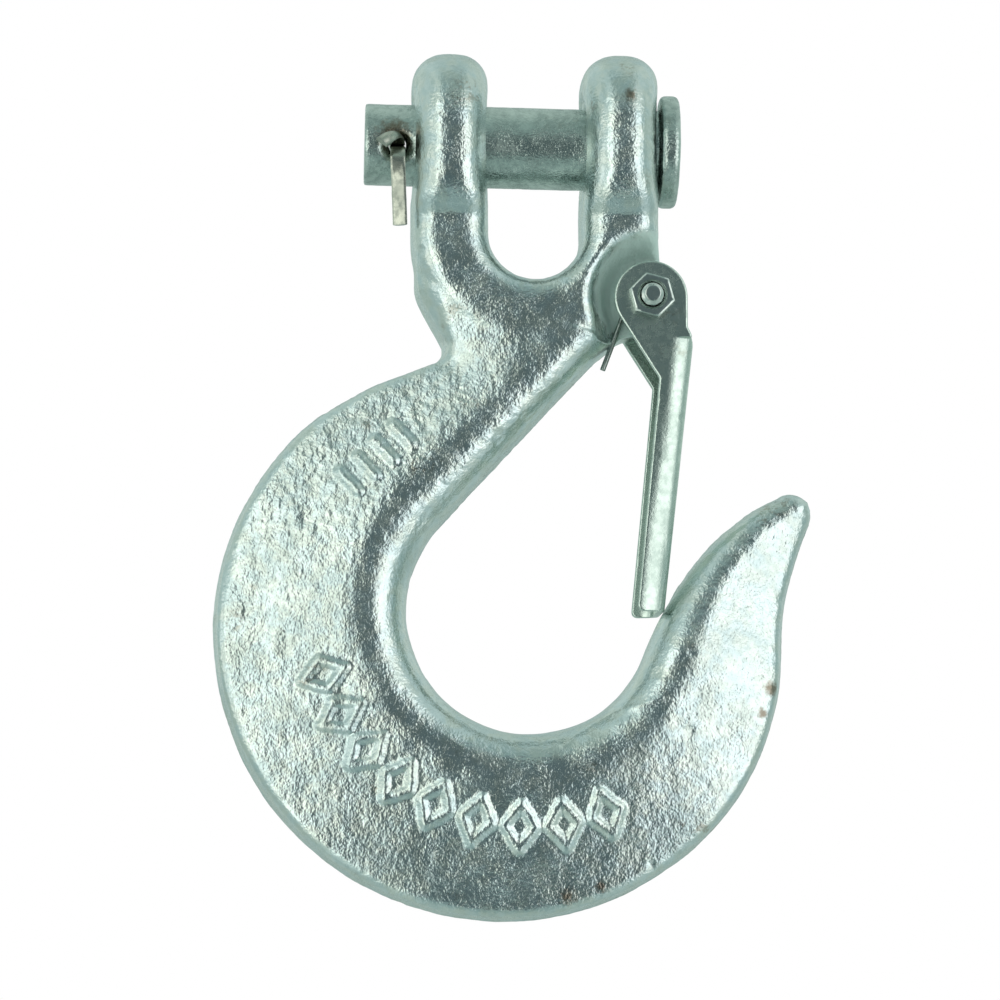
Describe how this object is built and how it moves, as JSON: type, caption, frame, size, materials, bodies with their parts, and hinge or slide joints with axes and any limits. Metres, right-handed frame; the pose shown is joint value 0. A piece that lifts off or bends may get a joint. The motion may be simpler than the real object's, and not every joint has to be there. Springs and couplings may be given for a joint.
{
  "type": "safety chain hook",
  "caption": "Forged clevis slip hook: two pinned ears take a chain's end link above a round bowl closed by a spring-loaded safety latch.",
  "frame": {"origin": "on the axis of the two ears' pin holes, midway between the ears, in the plane where the forging dies part", "axes": "+X along the pin holes towards the latch and the pin's head, +Y towards the side with the bolt's head, +Z from the bowl up to the ears"},
  "size_m": [0.0815, 0.024, 0.1187],
  "materials": {
    "forging": "bright zinc plate over a blasted forging",
    "pressed_sheet": "bright zinc plate over drawn sheet",
    "fastener": "bright zinc plate",
    "spring_wire": "drawn wire, zinc plated",
    "pin_steel": "grey green zinc plate, turned"
  },
  "bodies": {
    "hook": {"hook_body": "forging", "latch_bolt": "fastener", "latch_nut": "fastener", "latch_spring": "spring_wire"},
    "latch": {"latch": "pressed_sheet"},
    "pin": {"clevis_pin": "pin_steel", "split_pin": "pin_steel"}
  },
  "joints": [
    {"name": "latch_swing", "type": "hinge", "parent": "hook", "child": "latch", "pos_m": [0.0157, 0, -0.0215], "axis": [0, 1, 0], "range_deg": [0, 40], "stiffness_Nm_per_rad": 0.08, "springref_deg": -22.92, "deforming": ["latch_spring"]},
    {"name": "clevis_pin_spin", "type": "hinge", "parent": "hook", "child": "pin", "pos_m": [0, 0, 0], "axis": [0.9998, 0, -0.0187], "continuous": true}
  ]
}
